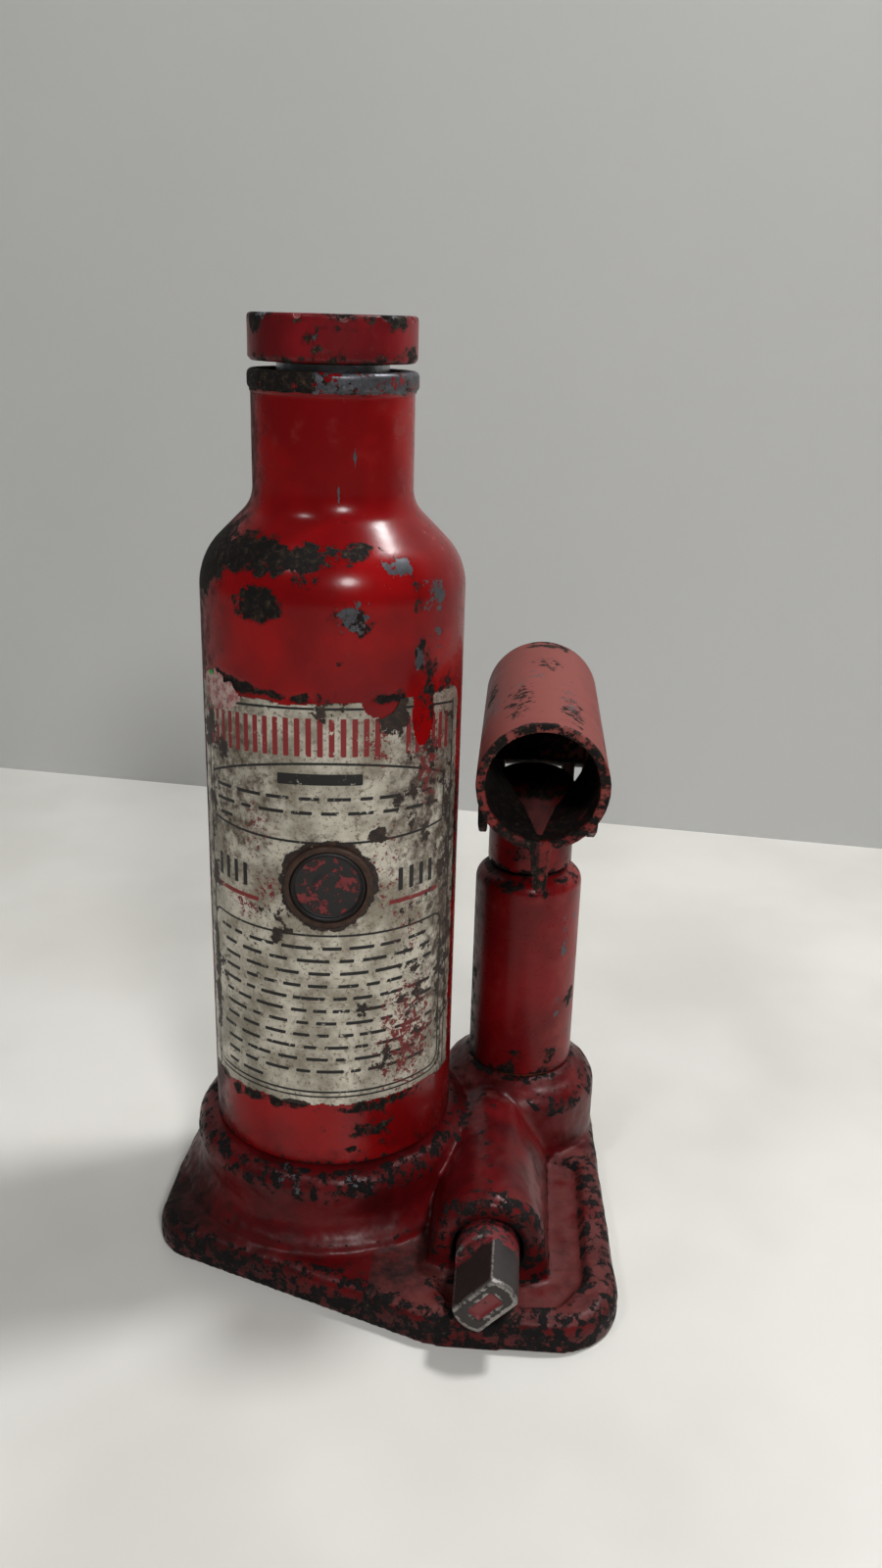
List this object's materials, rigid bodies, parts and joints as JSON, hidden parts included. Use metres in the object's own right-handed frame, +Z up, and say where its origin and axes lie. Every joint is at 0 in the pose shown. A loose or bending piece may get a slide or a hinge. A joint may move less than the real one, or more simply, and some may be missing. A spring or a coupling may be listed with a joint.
{
  "type": "hydraulic bottle jack",
  "caption": "Hydraulic bottle jack with a screw-out saddle, side pump, tilting handle socket and front release valve on a flared cast base.",
  "frame": {"origin": "axis of the ram, on the ground", "axes": "+Z up along the ram; +X towards the pump; -Y towards the operator, where the handle socket and the release valve open"},
  "size_m": [0.1067, 0.102, 0.2063],
  "materials": {
    "casting_enamel": "brushed red enamel over a sand-cast surface, chipped",
    "tank_enamel": "gloss red enamel, chipped and rusted",
    "pump_enamel": "gloss red enamel",
    "saddle_enamel": "worn red enamel over forged steel",
    "socket_enamel": "faded red enamel",
    "honed_steel": "honed",
    "oily_steel": "dark, oily",
    "rusty_steel": "rusted",
    "bearing_steel": "polished",
    "brass_mesh": "woven mesh",
    "copper_washer": "annealed",
    "label_foil": "aged printed foil",
    "seal_rubber": "matt",
    "plug_rubber": "matt, with flakes of red paint",
    "leather_cup": "oiled"
  },
  "bodies": {
    "jack_body": {"base_casting": "casting_enamel", "reservoir_tank": "tank_enamel", "tank_base_gasket": "seal_rubber", "pressure_cylinder": "honed_steel", "cylinder_gasket": "copper_washer", "gland_nut": "honed_steel", "ram_wiper_seal": "seal_rubber", "tank_top_seal": "seal_rubber", "label_plate": "label_foil", "filler_boss": "rusty_steel", "pump_cylinder": "pump_enamel", "pump_gasket": "copper_washer", "pump_packing": "seal_rubber", "packing_nut": "oily_steel", "suction_ball": "bearing_steel", "discharge_ball": "bearing_steel", "discharge_spring": "bearing_steel", "passage_plug": "oily_steel", "oil_strainer": "brass_mesh", "fulcrum_pin": "oily_steel"},
    "ram_body": {"ram": "honed_steel", "ram_backup_washer": "oily_steel", "ram_cup_seal": "leather_cup", "cup_screw": "oily_steel"},
    "screw_carrier": {"screw_stop_ring": "bearing_steel"},
    "saddle_body": {"extension_screw": "honed_steel", "saddle": "saddle_enamel"},
    "pump_plunger": {"pump_piston": "pump_enamel", "piston_cup": "leather_cup", "piston_pin": "oily_steel"},
    "socket_body": {"handle_socket": "socket_enamel", "link_pin": "oily_steel"},
    "link_body": {"fulcrum_links": "rusty_steel"},
    "plug_body": {"filler_plug": "plug_rubber"},
    "valve_carrier": {"release_ball": "bearing_steel"},
    "valve_body": {"release_valve": "oily_steel", "release_o_ring": "seal_rubber"}
  },
  "joints": [
    {"name": "ram_lift", "type": "slide", "parent": "jack_body", "child": "ram_body", "axis": [0, 0, 1], "range_m": [0, 0.115]},
    {"name": "screw_rise", "type": "slide", "parent": "ram_body", "child": "screw_carrier", "axis": [0, 0, 1], "range_m": [0, 0.0541]},
    {"name": "screw_turn", "type": "hinge", "parent": "screw_carrier", "child": "saddle_body", "pos_m": [0, 0, 0.19], "axis": [0, 0, 1], "range_deg": [0, 6480]},
    {"name": "pump_stroke", "type": "slide", "parent": "jack_body", "child": "pump_plunger", "axis": [0, 0, 1], "range_m": [0, 0.01228]},
    {"name": "socket_tilt", "type": "hinge", "parent": "pump_plunger", "child": "socket_body", "pos_m": [0.046, 0.0237, 0.0985], "axis": [-1, 0, 0], "range_deg": [0, 40]},
    {"name": "link_swing", "type": "hinge", "parent": "jack_body", "child": "link_body", "pos_m": [0.045, 0.04109, 0.035], "axis": [1, 0, 0], "range_deg": [0, 0.922]},
    {"name": "plug_pull", "type": "slide", "parent": "jack_body", "child": "plug_body", "axis": [0.1045, -0.9945, 0], "range_m": [0, 0.014]},
    {"name": "valve_travel", "type": "slide", "parent": "jack_body", "child": "valve_carrier", "axis": [0, -1, 0], "range_m": [0, 0.0025]},
    {"name": "valve_turn", "type": "hinge", "parent": "valve_carrier", "child": "valve_body", "pos_m": [0.0395, -0.05, 0.014], "axis": [0, -1, 0], "range_deg": [0, 720]}
  ],
  "couplings": [
    {"joint": "screw_rise", "follows": "screw_turn", "m_per_rad": 0.00047746},
    {"joint": "pump_stroke", "follows": "socket_tilt", "m_per_rad": 0.01757},
    {"joint": "link_swing", "follows": "socket_tilt", "ratio": 0.022552},
    {"joint": "valve_turn", "follows": "valve_travel", "rad_per_m": 5026.5}
  ]
}
